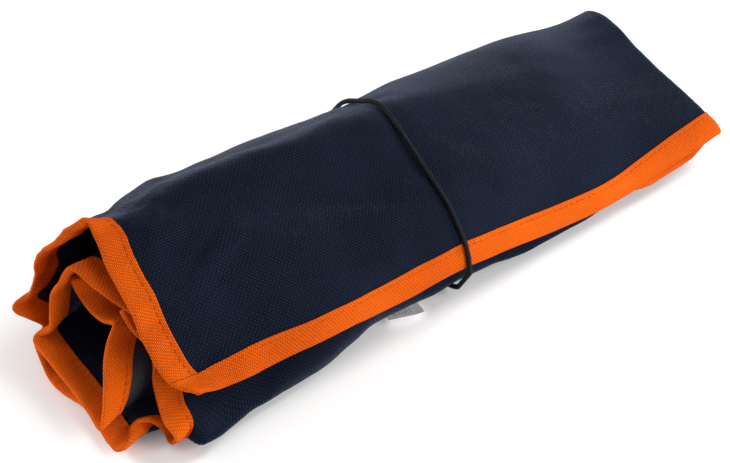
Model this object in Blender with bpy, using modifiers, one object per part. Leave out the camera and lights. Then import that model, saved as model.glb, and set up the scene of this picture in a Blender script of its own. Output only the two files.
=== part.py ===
"""Empty saddle sandbag for studio stands: folded in half, rolled up and tied.

The bag is one long base panel with a flat pocket on each half. It is folded across its
saddle (the +X end), then both halves are rolled together about the X axis and held by
an elastic tie. Every ply is a thin sheet that follows one of two nested spirals: the
outer half's and the inner half's. Lengths in the section tables are millimetres.
"""

import bmesh
import bpy
import numpy as np

MM = 0.001

# Driving dimensions
WIDTH = 320 * MM              # across the bag, along each spiral
CENTRE = (139.7 * MM, -2.0 * MM, 0.0)   # middle of the roll's footprint in the section tables
PLY = 0.6 * MM                # thickness of a fabric ply
PLY_OFFSET = 0.55 * MM        # a ply's middle, from the middle of its half
TAPE = 0.4 * MM               # thickness of the binding tape
TAPE_WIDTH = 12 * MM          # how far the tape covers each face
TAPE_OFFSET = 1.4 * MM        # the tape's middle, from the middle of its half
SADDLE = 26 * MM              # plain strip between the fold and a pocket
SADDLE_TAPE = 0.35 * MM       # the tape's inner ply on that strip, from the middle of its half
WRAP = 1.2 * MM               # the tape's fold stands this far past the plies' edge
BUTT_GAP = 0.8 * MM           # between the end binding and a long binding
EDGE_GAP = 0.5 * MM           # the plies' free edge, inside the nominal end

ZIP_FROM_FOLD = 48 * MM
ZIP_WIDTH = 20 * MM
ZIP_OFFSET = 1.6 * MM         # the zip's middle, from the middle of its half
ZIP_TAPE = 0.4 * MM
ZIP_GAP = 0.3 * MM
ZIP_SPAN = (0.07, 0.93)       # from one long edge to the other, as shares of the width
COIL_WIDTH = 4 * MM
COIL_HEIGHT = 0.6 * MM
COIL_SPAN = (0.09, 0.90)
STOP_U = 0.91
STOP_LENGTH = 2.5 * MM
SLIDER_SIZE = (6 * MM, 9 * MM, 1.2 * MM)
SLIDER_OFFSET = 2.85 * MM
SLIDER_BEVEL = 0.35 * MM
SLIDER_A_U = 0.12
SLIDER_B_U = 0.24
PULL_SIZE = (18 * MM, 5 * MM, 0.8 * MM)
PULL_BEVEL = 0.25 * MM
PULL_GAP = 0.3 * MM

HANDLE_WIDTH = 22 * MM
HANDLE_FROM_FOLD = 13 * MM
HANDLE_SPAN = (0.10, 0.62)
HANDLE = 1.0 * MM
HANDLE_OFFSET = -0.7 * MM

TIE_X = 147 * MM
TIE_LEAN = 5 * MM             # the tie's top stands this far towards the fold
TIE_RADIUS = 1.15 * MM
TIE_GAP = 0.3 * MM
TIE_REACH = np.array([-8, -4, 0, 4, 8, 15, 22, 30]) * MM   # the loop clears the roll over this run
TIE_POINTS = 56
KNOT_AT = (0.052, 0.022)      # y and z
KNOT_HALF = 3.6 * MM          # the loop stops this far from the knot's middle
KNOT_RADIUS = 3.168 * MM
KNOT_OUT = 1.5 * MM           # the knot's middle stands this far behind the loop's line
TAIL_DROPS = (16 * MM, 12 * MM)
TAIL_SPREAD = 5 * MM
TAIL_OUT = 2 * MM
TAIL_START = (4.5125 * MM, 2.5 * MM)   # beside and behind the loop's line
FLOOR_GAP = 0.1 * MM          # between the tie and the floor

LABEL = 0.4 * MM
LABEL_X = (110 * MM, 118.5 * MM, 127 * MM)
LABEL_SECTION = [(-50.5 * MM, 0.5 * MM), (-44 * MM, 0.4 * MM), (-34 * MM, 0.4 * MM), (-24 * MM, 0.4 * MM)]

# Free edge of the outer half at the loose end: x, y, z
OUTER_END = [
    (3, -50, 25), (-3, -41, 31), (-3, -28, 44), (-1, -14, 56), (-2, 2, 67), (-2, 12, 75),
    (-3, 18, 83), (-8, 22, 78), (-16, 32, 64), (-19, 39, 51), (-18, 41, 41), (-25, 42, 35),
    (-28, 36, 29), (-21, 32, 19), (-25, 35, 12), (-28, 28, 9), (-30, 13, 4), (-27, -9, 4),
    (-30, -29, 4.5), (-30, -37, 4.5), (-26, -38.5, 8), (-20, -33.5, 10.8), (-14, -36.5, 11.6),
    (-8, -41, 8.5), (-4, -47, 4), (-2, -53, 11), (-5, -46, 16), (-6, -37, 17), (-4, -27, 24),
    (-1, -24, 34), (-4, -13, 43), (-4, -5, 46.5),
]
# Free edge of the inner half at the loose end
INNER_END = [
    (6, -46, 22.5), (3, -38, 28), (1, -25, 39), (-2, -12, 49), (-6, -4, 53), (-10, 5, 57.5),
    (-14, 15, 62.5), (-18.3, 19, 53), (-20, 24, 43.5), (-22, 23, 33), (-24, 22, 26),
    (-30, 26, 22), (-31, 11, 19), (-31, -4, 16), (-32, -19, 14), (-33, -29, 13),
    (-29, -26, 18), (-23, -19, 26), (-18, -12.5, 32), (-12, -7, 36), (-7.5, -5, 41),
    (-9, 1, 39), (-10, 8, 39), (-12, 15.5, 47), (-14, 15.5, 56),
]
# Sections of the outer half at each station: y, z, from the flap's edge inwards
OUTER = {
    60: [(-56, 26), (-54.5, 33), (-47, 44), (-26, 58), (-4, 69), (14, 73.6), (27.5, 70.2), (41, 60.8),
         (50, 47), (52, 30), (47, 13), (39, 4.5), (26, 1.6), (0, 1), (-35, 1), (-48, 2.2),
         (-55, 5.5), (-54.8, 12), (-48.3, 20.5), (-39, 30.5), (-17, 47.5), (-3, 53.5)],
    105: [(-56, 23), (-54.2, 30.5), (-47.5, 40.5), (-31, 52), (-12, 62), (5, 69), (15, 70.2),
          (24.5, 67.3), (37, 58.5), (46.6, 45.4), (49, 30), (44.8, 13.5), (37.5, 5.7), (25, 3.1),
          (0, 2.6), (-33, 2.6), (-42.5, 4), (-47.3, 8.8), (-47.2, 17.5), (-43.2, 26),
          (-34.5, 34.5), (-18.5, 45), (-4.5, 51.8), (0.5, 53.8)],
    150: [(-56, 20), (-54, 28), (-48, 37), (-36, 46), (-21, 55), (-5, 63), (10, 68),
          (21.5, 65.5), (34.5, 57), (43.7, 43.8), (46.5, 30), (43.2, 14), (36, 6.9), (24, 4.6),
          (0, 4.2), (-33, 4.2), (-44, 5.2), (-49.3, 9), (-47.6, 16.5), (-43.3, 24.3), (-35, 31.5),
          (-20, 42), (-6, 50), (4, 54)],
    235: [(-56, 9), (-54, 16), (-47, 23.5), (-30, 33), (-8, 43), (8, 49), (22, 50.5),
          (35, 46), (43, 37), (44.5, 24), (41, 11), (33, 5.2), (20, 4.4), (0, 4.4),
          (-30, 4.4), (-40.5, 5.8), (-45, 10), (-43, 15), (-37.5, 18.5), (-26, 23), (-8, 30.5),
          (8, 36)],
    292: [(-56.5, 14), (-53, 18), (-45, 21.8), (-33, 24.8), (-18, 27.7), (5, 31.8), (20, 34.3),
          (30, 34.3), (38.5, 30), (41.5, 20), (39, 10), (33, 5), (22, 4.4), (0, 4.4),
          (-30, 4.4), (-41, 5.6), (-45.5, 9.7), (-42, 14), (-33, 16.2), (-15, 18.4), (5, 20.8),
          (18, 22.6)],
    308: [(-56.5, 15), (-53, 18.5), (-45, 21.5), (-33, 24.2), (-18, 27), (5, 31.2), (20, 34),
          (30, 34.3), (38.5, 30), (41.5, 20), (39, 9), (33, 2.6), (22, 1), (0, 1), (-30, 1),
          (-41, 3), (-45.5, 9), (-42, 14), (-33, 16.2), (-15, 18.4), (5, 20.8), (18, 22.6)],
}
# Sections of the inner half
INNER = {
    60: [(-51.7, 22), (-49, 31), (-43, 40), (-24, 53.2), (-4, 63.8), (13, 68.4), (25, 65.4),
         (37.2, 56.5), (45.6, 44.1), (47, 29.6), (42.5, 15.5), (36, 8.5), (24, 6), (0, 5.4),
         (-31, 5.4), (-39, 7.5), (-42.4, 12.5), (-42.3, 19.5), (-39.5, 25.5), (-30.5, 33),
         (-14, 42), (0, 46.8), (8, 49.5)],
    150: [(-51.5, 18), (-49.3, 26), (-44, 33), (-33, 41), (-19, 49.6), (-3, 57.5), (10, 62),
          (19.5, 60.2), (30.6, 52.8), (38.8, 41.2), (41.6, 29.3), (38.7, 17), (32.5, 11.2), (22, 8.9),
          (0, 8.5), (-30, 8.5), (-38, 9.8), (-42.2, 13.5), (-42.1, 18), (-39, 22.5),
          (-32, 28), (-17, 36.8), (-3, 44.5), (7, 48.5)],
    235: [(-51.5, 8), (-49.6, 13.5), (-44, 18.5), (-28, 27), (-7, 35.8), (8, 41.3), (20, 43),
          (31, 40.5), (38, 33), (39.5, 24), (36.5, 14.5), (30, 9.8), (19, 8.8), (0, 8.8),
          (-29, 8.8), (-36.5, 9.4), (-40, 11.3), (-38, 13.9), (-33, 16), (-22, 20), (-4, 27.6),
          (11, 33)],
    292: [(-51.8, 11), (-48.6, 14), (-42, 16.7), (-31, 19.2), (-17, 21.5), (5, 24.8),
          (18, 27.2), (26, 27.5), (33, 24.9), (36, 19.5), (34.3, 12.8), (29.5, 9.4),
          (20, 8.8), (0, 8.8), (-29, 8.8), (-36, 9), (-38, 10.4), (-35.5, 11.7), (-30, 12.1),
          (-14, 14), (6, 16.5), (18.5, 18.2)],
    308: [(-51.8, 11.5), (-48.6, 14.5), (-42, 17), (-31, 19.5), (-17, 21.9), (5, 25.2),
          (18, 27.6), (26, 27.7), (33, 24.9), (36, 19.5), (34.3, 12.5), (29.5, 7.2),
          (20, 5.4), (0, 5.4), (-29, 5.4), (-36, 6.4), (-38, 9.2), (-35.5, 11.7), (-30, 12.1),
          (-14, 14), (6, 16.5), (18.5, 18.2)],
}
FOLD_X = 308 * MM             # where both halves stop and the base panel turns over
FOLD_BULGE = 3.2 * MM
RIPPLE_REACH = 16 * MM        # the end's small folds die away over this length
SMOOTHING = 13                # half width of the filter that removes them, in samples

LOWEST = PLY_OFFSET + PLY / 2   # the middle of the outer half, where the roll rests on the floor

# Rows of facets: the loose end, the tape's edge, then these nominal x
ROWS_X = np.array([0, 12, 26, 48, 80, 115, 150, 194, 235, 250, 260, 270, 282, 294, 308]) * MM
FOLD_TURNS = np.linspace(0, np.pi, 5)[1:-1]
NEAR_EDGE = 0.004             # the plies stop at this share of the width
TAPED = TAPE_WIDTH / WIDTH + NEAR_EDGE
COLUMNS = 40
EVEN_SHARE = 0.05             # weight of even spacing against the bends'
SPREAD = 7                    # samples over which a bend draws the corners closer
MITRE_LEAST = 1.6             # caps the reach of a mitre at a sharp fold

FINE = 241                    # samples of each section
U_FINE = np.linspace(0, 1, FINE)


def through(points, count=900):
    """A smooth curve through the points, sampled at even steps of its own length."""
    p = np.array(points, float)
    knots = np.concatenate([[0], np.cumsum(np.linalg.norm(np.diff(p, axis=0), axis=1) ** 0.5)])
    step = np.diff(knots)[:, None]
    slope = np.diff(p, axis=0) / step
    tangent = np.empty_like(p)
    tangent[1:-1] = (slope[:-1] * step[1:] + slope[1:] * step[:-1]) / (step[:-1] + step[1:])
    tangent[0] = slope[0]
    tangent[-1] = slope[-1]
    t = np.linspace(0, knots[-1], count)
    i = np.clip(np.searchsorted(knots, t) - 1, 0, len(step) - 1)
    h = step[i]
    f = (t[:, None] - knots[i][:, None]) / h
    return (
        (2 * f**3 - 3 * f**2 + 1) * p[i]
        + (f**3 - 2 * f**2 + f) * h * tangent[i]
        + (3 * f**2 - 2 * f**3) * p[i + 1]
        + (f**3 - f**2) * h * tangent[i + 1]
    )


def evenly(points, u=U_FINE):
    curve = through(points)
    length = np.concatenate([[0], np.cumsum(np.linalg.norm(np.diff(curve, axis=0), axis=1))])
    return np.stack([np.interp(u * length[-1], length, curve[:, k]) for k in range(curve.shape[1])], 1)


def smoothed(curve):
    """The curve without its short waves; its two ends stay where they are."""
    reach = 3 * SMOOTHING
    ahead = 2 * curve[0] - curve[reach:0:-1]
    behind = 2 * curve[-1] - curve[-2:-reach - 2:-1]
    longer = np.concatenate([ahead, curve, behind])
    weight = np.exp(-0.5 * (np.arange(-reach, reach + 1) / SMOOTHING) ** 2)
    weight /= weight.sum()
    return np.stack([np.convolve(longer[:, k], weight, "valid") for k in range(3)], 1)


def stations_of(end, sections):
    """Rows of points in metres, one row per station, and each station's nominal x."""
    edge = evenly(end)
    rows = [smoothed(edge)]
    for x, points in sections.items():
        yz = evenly(points)
        rows.append(np.column_stack([np.full(FINE, float(x)), yz]))
    nominal = np.array([0.0] + [float(x) for x in sections]) * MM
    return nominal, np.array(rows) * MM, (edge - rows[0]) * MM


HALVES = {"outer": stations_of(OUTER_END, OUTER), "inner": stations_of(INNER_END, INNER)}


def half_point(half, x, u):
    """The middle of a half at nominal x and at u, the share of its width (arrays)."""
    nominal, rows, ripple = HALVES[half]
    x, u = np.broadcast_arrays(np.asarray(x, float), np.asarray(u, float))
    at = np.clip(u, 0, 1) * (FINE - 1)
    low = np.minimum(at.astype(int), FINE - 2)
    share = (at - low)[..., None]
    columns = rows[:, low] * (1 - share) + rows[:, low + 1] * share
    wave = ripple[low] * (1 - share) + ripple[low + 1] * share
    step = np.diff(nominal)
    slope = np.diff(columns, axis=0) / step.reshape(-1, *[1] * (columns.ndim - 1))
    before = step[:-1].reshape(-1, *[1] * (columns.ndim - 1))
    after = step[1:].reshape(-1, *[1] * (columns.ndim - 1))
    middle = (slope[:-1] * after + slope[1:] * before) / (before + after)
    tangent = np.concatenate([slope[:1], middle, slope[-1:]])
    i = np.clip(np.searchsorted(nominal, x, side="right") - 1, 0, len(step) - 1)
    f = ((x - nominal[i]) / step[i])[..., None]
    h = step[i][..., None]
    pick = lambda table, j: np.take_along_axis(table, j[None, ..., None], 0)[0]
    point = (
        (2 * f**3 - 3 * f**2 + 1) * pick(columns, i)
        + (f**3 - 2 * f**2 + f) * h * pick(tangent, i)
        + (3 * f**2 - 2 * f**3) * pick(columns, i + 1)
        + (f**3 - f**2) * h * pick(tangent, i + 1)
    )
    fade = np.exp(-np.maximum(x, 0) / RIPPLE_REACH)[..., None]
    point = point + wave * fade
    point[..., 2] = np.maximum(point[..., 2], LOWEST)
    return point - np.array(CENTRE)


def edge_x(half, distance, u):
    """Nominal x at this distance from the loose end's edge."""
    start = half_point(half, np.zeros_like(u), u)
    near = half_point(half, np.full_like(u, 10 * MM), u)
    return distance * 10 * MM / np.linalg.norm(near - start, axis=-1)


def shares_across():
    """Shares of the width at the facets' corners, closer together where the plies bend."""
    turning = np.zeros(FINE)
    for _, sections, _ in HALVES.values():
        for section in sections[1:]:
            step = np.diff(section, axis=0)
            step /= np.linalg.norm(step, axis=1, keepdims=True)
            turning[1:-1] = np.maximum(turning[1:-1], np.linalg.norm(np.diff(step, axis=0), axis=1))
    density = np.convolve(turning, np.ones(SPREAD) / SPREAD, "same") + EVEN_SHARE
    total = np.concatenate([[0], np.cumsum((density[1:] + density[:-1]) / 2)])
    first, last = np.interp([TAPED, 1 - TAPED], U_FINE, total)
    inner = np.interp(np.linspace(first, last, COLUMNS), total, U_FINE)
    return np.concatenate([[NEAR_EDGE], inner, [1 - NEAR_EDGE]])


SHARES = shares_across()


def unit(vectors):
    return vectors / np.linalg.norm(vectors, axis=-1, keepdims=True)


def lattice_of(half):
    """Corners of a half's facets, row by row, and the mitred normals there.

    The normals point to the plain face of the base panel. A ply at a given distance is
    the lattice moved along them, so that plies at different distances never cross.
    """
    rows = [edge_x(half, EDGE_GAP, SHARES), edge_x(half, TAPE_WIDTH, SHARES)]
    rows += [np.full_like(SHARES, x) for x in ROWS_X[2:]]
    points = half_point(half, np.array(rows), SHARES)
    along = unit(np.gradient(points, axis=0))
    edges = unit(np.diff(points, axis=1))
    before = np.concatenate([edges[:, :1], edges], axis=1)
    after = np.concatenate([edges, edges[:, -1:]], axis=1)
    both = unit(np.cross(along, before)) + unit(np.cross(along, after))
    length = np.maximum((both**2).sum(axis=-1, keepdims=True), MITRE_LEAST)
    normals = 2 * both / length
    return points, normals if half == "outer" else -normals


LATTICES = {half: lattice_of(half) for half in HALVES}
ROW_COUNT = len(ROWS_X)
POCKET_ROWS = int(np.searchsorted(ROWS_X, FOLD_X - SADDLE + MM))


def ply_rows(half, offset, stop=ROW_COUNT):
    """Rows of a ply at this distance from the middle of its half."""
    points, normals = LATTICES[half]
    return list(points[:stop] + normals[:stop] * offset)


def on_half(half, x, u, offset):
    """A point on the facets of a half, at nominal x and share u."""
    points, normals = LATTICES[half]
    ply = points + normals * offset
    line = np.stack([np.interp(x, ROWS_X, ply[:, :, k].T[j]) for k in range(3)
                     for j in range(len(SHARES))]).reshape(3, -1)
    return np.array([np.interp(u, SHARES, line[k]) for k in range(3)])


# ---------------------------------------------------------------- Blender objects


def clear_scene():
    for obj in list(bpy.data.objects):
        bpy.data.objects.remove(obj, do_unlink=True)


def material(name, colour, roughness, metallic=0.0):
    made = bpy.data.materials.new(name)
    made.use_nodes = True
    shader = made.node_tree.nodes["Principled BSDF"]
    shader.inputs["Base Color"].default_value = (*colour, 1)
    shader.inputs["Roughness"].default_value = roughness
    shader.inputs["Metallic"].default_value = metallic
    return made


def add_object(name, data, surface):
    obj = bpy.data.objects.new(name, data)
    data.materials.append(surface)
    PARTS.objects.link(obj)
    return obj


def sheet(name, points, thickness, surface, turned=()):
    """A thin closed sheet whose middle passes through a grid of points.

    Each cell is cut along one diagonal, the other one in the turned strips, so that
    neighbouring plies have the same facets.
    """
    rows, columns = points.shape[:2]
    bm = bmesh.new()
    bmesh.ops.create_grid(bm, x_segments=rows - 1, y_segments=columns - 1, size=1)
    at = {}
    for vert in bm.verts:
        i = round((vert.co.x + 1) / 2 * (rows - 1))
        j = round((vert.co.y + 1) / 2 * (columns - 1))
        vert.co = points[i, j]
        at[i, j] = vert
    for i in range(rows - 1):
        for j in range(columns - 1):
            first, last = (at[i + 1, j], at[i, j + 1]) if i in turned else (at[i, j], at[i + 1, j + 1])
            face = next(face for face in first.link_faces if last in face.verts)
            bmesh.utils.face_split(face, first, last)
    mesh = bpy.data.meshes.new(name)
    bm.to_mesh(mesh)
    bm.free()
    mesh.shade_smooth()
    obj = add_object(name, mesh, surface)
    solid = obj.modifiers.new("thickness", "SOLIDIFY")
    solid.thickness = thickness
    solid.offset = 0
    return obj


def block(name, centre, size, along, normal, surface, bevel=0.0):
    """A bevelled box: its second side lies along, its third stands along the normal."""
    first = np.cross(along, normal)
    bm = bmesh.new()
    bmesh.ops.create_cube(bm, size=1)
    for vert in bm.verts:
        a, b, c = vert.co.x * size[0], vert.co.y * size[1], vert.co.z * size[2]
        vert.co = a * first + b * along + c * normal
    mesh = bpy.data.meshes.new(name)
    bm.to_mesh(mesh)
    bm.free()
    obj = add_object(name, mesh, surface)
    obj.location = centre
    if bevel:
        edge = obj.modifiers.new("edges", "BEVEL")
        edge.width = bevel
        edge.segments = 1
    return obj


def fold_rows(offset):
    """Rows that turn over from the outer half to the inner one at the saddle."""
    near = ply_rows("outer", offset)[-1]
    far = ply_rows("inner", offset)[-1]
    rows = []
    for turn in FOLD_TURNS:
        row = (near + far) / 2 + (near - far) / 2 * np.cos(turn)
        row[:, 0] += (FOLD_BULGE + offset - PLY_OFFSET) * np.sin(turn)
        rows.append(row)
    return rows


def add_base_panel(fabric):
    rows = ply_rows("outer", PLY_OFFSET) + fold_rows(PLY_OFFSET)
    rows += ply_rows("inner", PLY_OFFSET)[::-1]
    return sheet("base_panel", np.array(rows), PLY, fabric)


def add_pocket_face(name, half, fabric):
    rows = ply_rows(half, -PLY_OFFSET, POCKET_ROWS)
    return sheet(name, np.array(rows if half == "outer" else rows[::-1]), PLY, fabric)


def add_end_binding(name, half, tape):
    """Tape folded over the loose end of one half, between the two long bindings."""
    points, normals = LATTICES[half]
    outward = unit(points[0] - points[1])
    profile = [(1, 1.0, 0), (0, 1.0, 0), (0, 0.5, WRAP), (0, -0.5, WRAP), (0, -1.0, 0), (1, -1.0, 0)]
    rows = []
    for row, side, out in profile:
        line = points[row] + normals[row] * side * TAPE_OFFSET + outward * out
        line[1] += unit(line[2] - line[1]) * BUTT_GAP
        line[-2] += unit(line[-3] - line[-2]) * BUTT_GAP
        rows.append(line[1:-1])
    turned = {0} if half == "outer" else {len(profile) - 2}
    return sheet(name, np.array(rows), TAPE, tape, turned)


def add_long_binding(name, near, deep, tape):
    """Tape folded over one long edge, from end to end round the fold."""
    profile = [(deep, 1.0, 0), (near, 1.0, 0), (near, 0.5, WRAP), (near, -0.5, WRAP),
               (near, -1.0, 0), (deep, -1.0, 0)]
    columns = []
    for column, side, out in profile:
        plain = side * (TAPE_OFFSET if side > 0 else SADDLE_TAPE)
        rows = []
        for half in ("outer", "inner"):
            beside = np.array(ply_rows(half, side * TAPE_OFFSET, POCKET_ROWS))
            past = np.array(ply_rows(half, plain))[POCKET_ROWS:]
            run = np.concatenate([beside, past])
            rows += list(run) if half == "outer" else list(run[::-1])
            rows += fold_rows(plain) if half == "outer" else []
        rows = np.array(rows)
        columns.append(rows[:, column] + out * unit(rows[:, near] - rows[:, deep]))
    turned = {0} if near == 0 else {len(profile) - 2}
    return sheet(name, np.array(columns), TAPE, tape, turned)


def strip_between(name, half, x_range, u_range, offset, thickness, surface):
    """A flat strip along the width of a half, on its facets."""
    inside = SHARES[(SHARES > u_range[0] + 0.002) & (SHARES < u_range[1] - 0.002)]
    shares = [u_range[0], *inside, u_range[1]]
    crossed = [x for x in ROWS_X if x_range[0] + MM < x < x_range[1] - MM]
    rows = [[on_half(half, x, u, offset) for u in shares] for x in [x_range[0], *crossed, x_range[1]]]
    return sheet(name, np.array(rows if half == "outer" else rows[::-1]), thickness, surface)


def frame_at(half, x, u, offset):
    """A point on a half, and its unit directions along the width and off the pocket's side."""
    point = on_half(half, x, u, offset)
    along = unit(on_half(half, x, u + 0.02, offset) - on_half(half, x, u - 0.02, offset))
    normal = unit(point - on_half(half, x, u, offset + MM))
    return point, along, normal


def add_zip(letter, half, slider_u, pull_side, tape, coil, metal):
    """The pocket's zip: two tapes, the meshed coils, a bottom stop, a slider and its pull."""
    middle = FOLD_X - ZIP_FROM_FOLD
    inner, outer = COIL_WIDTH / 2 + ZIP_GAP, ZIP_WIDTH / 2
    strip_between(f"zip_tape_{letter}_1", half, (middle - outer, middle - inner), ZIP_SPAN,
                  -ZIP_OFFSET, ZIP_TAPE, tape)
    strip_between(f"zip_tape_{letter}_2", half, (middle + inner, middle + outer), ZIP_SPAN,
                  -ZIP_OFFSET, ZIP_TAPE, tape)
    half_coil = COIL_WIDTH / 2
    strip_between(f"zip_coil_{letter}", half, (middle - half_coil, middle + half_coil),
                  COIL_SPAN, -ZIP_OFFSET, COIL_HEIGHT, coil)
    stop = frame_at(half, middle, STOP_U, -ZIP_OFFSET)
    block(f"zip_stop_{letter}", stop[0], (COIL_WIDTH, STOP_LENGTH, COIL_HEIGHT), stop[1], stop[2], metal)
    slider = frame_at(half, middle, slider_u, -SLIDER_OFFSET)
    block(f"zip_slider_{letter}", slider[0], SLIDER_SIZE, slider[1], slider[2], metal,
          SLIDER_BEVEL)
    sideways = unit(np.cross(slider[1], slider[2]))
    sideways *= np.sign(sideways[0]) * pull_side
    pull = slider[0] + sideways * (SLIDER_SIZE[0] / 2 + PULL_SIZE[0] / 2 + PULL_GAP)
    block(f"zip_pull_{letter}", pull, PULL_SIZE, slider[1], slider[2], metal, PULL_BEVEL)


def add_handle(webbing):
    """Carrying strap sewn flat to the saddle's inner face, beside the fold."""
    middle = FOLD_X - HANDLE_FROM_FOLD
    x_range = (middle - HANDLE_WIDTH / 2, middle + HANDLE_WIDTH / 2)
    return strip_between("carry_handle", "outer", x_range, HANDLE_SPAN, HANDLE_OFFSET, HANDLE, webbing)


def tie_section(x):
    """The outline of the roll at one x, as points in the YZ plane."""
    points, normals = LATTICES["outer"]
    ply = points + normals * (TAPE_OFFSET + TAPE / 2)
    return np.array([[np.interp(x, ply[:, j, 0], ply[:, j, k]) for k in (1, 2)]
                     for j in range(len(SHARES))])


def hull_of(points):
    """Convex hull of points in a plane, anticlockwise."""
    order = sorted(map(tuple, points))
    hull = []
    for run in (order, order[::-1]):
        start = len(hull)
        for p in run:
            while len(hull) >= start + 2:
                a, b = hull[-2], hull[-1]
                if (b[0] - a[0]) * (p[1] - a[1]) - (b[1] - a[1]) * (p[0] - a[0]) > 0:
                    break
                hull.pop()
            hull.append(p)
        hull.pop()
    return np.array(hull)


def tie_route():
    """The loop round the roll, from one side of the knot to the other."""
    middle = TIE_X - CENTRE[0]
    outline = np.concatenate([tie_section(x) for x in middle + TIE_REACH])
    hull = hull_of(outline)
    loop = []
    for k in range(len(hull)):
        a, b, c = hull[k - 1], hull[k], hull[(k + 1) % len(hull)]
        ins, out = np.arctan2(*(b - a)[::-1]), np.arctan2(*(c - b)[::-1])
        turn = (out - ins) % (2 * np.pi)
        for share in np.linspace(0, 1, max(2, int(turn / 0.2) + 1)):
            angle = ins + turn * share - np.pi / 2
            loop.append(b + (TIE_RADIUS + TIE_GAP) * np.array([np.cos(angle), np.sin(angle)]))
    loop = np.array(loop)
    loop[:, 1] = np.maximum(loop[:, 1], TIE_RADIUS + FLOOR_GAP)
    loop = np.concatenate([loop, loop[:1]])
    length = np.concatenate([[0], np.cumsum(np.linalg.norm(np.diff(loop, axis=0), axis=1))])
    knot = length[np.argmin(np.linalg.norm(loop - np.array(KNOT_AT), axis=1))]
    at = np.linspace(KNOT_HALF, length[-1] - KNOT_HALF, TIE_POINTS) + knot
    y, z = (np.interp(at % length[-1], length, loop[:, k]) for k in (0, 1))
    lean = (z / z.max() - 0.5) * TIE_LEAN
    centre = np.interp(knot, length, loop[:, 0]), np.interp(knot, length, loop[:, 1])
    knot_x = middle + (centre[1] / z.max() - 0.5) * TIE_LEAN
    return np.column_stack([middle + lean, y, z]), np.array([knot_x, *centre])


def cord(name, points, surface):
    curve = bpy.data.curves.new(name, "CURVE")
    curve.dimensions = "3D"
    curve.bevel_depth = TIE_RADIUS
    curve.bevel_resolution = 2
    curve.use_fill_caps = True
    spline = curve.splines.new("POLY")
    spline.points.add(len(points) - 1)
    for point, place in zip(spline.points, points):
        point.co = (*place, 1)
    return add_object(name, curve, surface)


def add_tie(elastic):
    """Elastic cord round the roll, knotted at the back, with two cut ends."""
    route, knot = tie_route()
    cord("tie_cord", route, elastic)
    bm = bmesh.new()
    bmesh.ops.create_uvsphere(bm, u_segments=12, v_segments=8, radius=1)
    for vert in bm.verts:
        vert.co = vert.co * KNOT_RADIUS
    mesh = bpy.data.meshes.new("tie_knot")
    bm.to_mesh(mesh)
    bm.free()
    obj = add_object("tie_knot", mesh, elastic)
    obj.location = knot + np.array([0, KNOT_OUT, 0])
    bend = np.linspace(0, 1, 6)
    for k, (side, drop) in enumerate(zip((1, -1), TAIL_DROPS), 1):
        start = knot + np.array([side * TAIL_START[0], TAIL_START[1], 0])
        tail = start + np.column_stack([side * TAIL_SPREAD * bend, TAIL_OUT * bend, -drop * bend**1.5])
        cord(f"tie_end_{k}", tail, elastic)


def add_label(paper):
    """Barcode label under the front edge, sewn to the base panel by its far edge."""
    rows = []
    for x in LABEL_X:
        rows.append([(x - CENTRE[0], y - CENTRE[1], z) for y, z in LABEL_SECTION])
    return sheet("barcode_label", np.array(rows), LABEL, paper)


def main():
    fabric = material("navy_fabric", (0.012, 0.016, 0.032), 0.75)
    tape = material("orange_tape", (0.86, 0.17, 0.01), 0.7)
    black = material("black_webbing", (0.01, 0.01, 0.012), 0.8)
    coil = material("zip_coil_nylon", (0.015, 0.015, 0.018), 0.4)
    metal = material("painted_metal", (0.03, 0.03, 0.035), 0.35, 0.9)
    elastic = material("elastic_cord", (0.012, 0.012, 0.014), 0.65)
    paper = material("white_label", (0.75, 0.72, 0.8), 0.55)
    add_base_panel(fabric)
    add_pocket_face("pocket_face_a", "outer", fabric)
    add_pocket_face("pocket_face_b", "inner", fabric)
    add_end_binding("end_binding_a", "outer", tape)
    add_end_binding("end_binding_b", "inner", tape)
    add_long_binding("flap_edge_binding", 0, 1, tape)
    add_long_binding("core_edge_binding", -1, -2, tape)
    add_zip("a", "outer", SLIDER_A_U, -1, black, coil, metal)
    add_zip("b", "inner", SLIDER_B_U, -1, black, coil, metal)
    add_handle(black)
    add_tie(elastic)
    add_label(paper)


clear_scene()
PARTS = bpy.data.collections.new("sandbag")
bpy.context.scene.collection.children.link(PARTS)
main()
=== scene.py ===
"""An empty saddle sandbag, folded, rolled up and tied with elastic cord.

The cloth plies follow two nested spirals, the outer half's and the inner half's, whose
section tables are in millimetres. All else is sewn, zipped or tied onto those plies.
"""

import math

import bmesh
import bpy
import numpy as np
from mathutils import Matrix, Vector
from mathutils.bvhtree import BVHTree


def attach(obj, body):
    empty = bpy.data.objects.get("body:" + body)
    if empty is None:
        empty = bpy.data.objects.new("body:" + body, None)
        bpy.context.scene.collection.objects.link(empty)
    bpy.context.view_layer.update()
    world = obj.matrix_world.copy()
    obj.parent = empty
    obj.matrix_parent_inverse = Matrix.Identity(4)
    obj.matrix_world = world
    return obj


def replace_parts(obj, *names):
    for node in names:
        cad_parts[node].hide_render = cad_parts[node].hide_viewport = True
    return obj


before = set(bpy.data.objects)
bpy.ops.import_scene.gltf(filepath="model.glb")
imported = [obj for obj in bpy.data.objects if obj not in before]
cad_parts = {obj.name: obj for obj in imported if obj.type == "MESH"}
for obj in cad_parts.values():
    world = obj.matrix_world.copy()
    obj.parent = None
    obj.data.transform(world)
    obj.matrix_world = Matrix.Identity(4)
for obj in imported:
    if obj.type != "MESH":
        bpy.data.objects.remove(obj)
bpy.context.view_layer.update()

MM = 0.001
CENTRE = (139.7 * MM, -2.0 * MM, 0.0)  # from the tables' origin to the frame's
WIDTH = 320 * MM              # across the bag, along each spiral
SADDLE = 26 * MM              # from the fold to the pockets' ends
TAPE_WIDTH = 12 * MM          # the binding's width on each face

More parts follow.
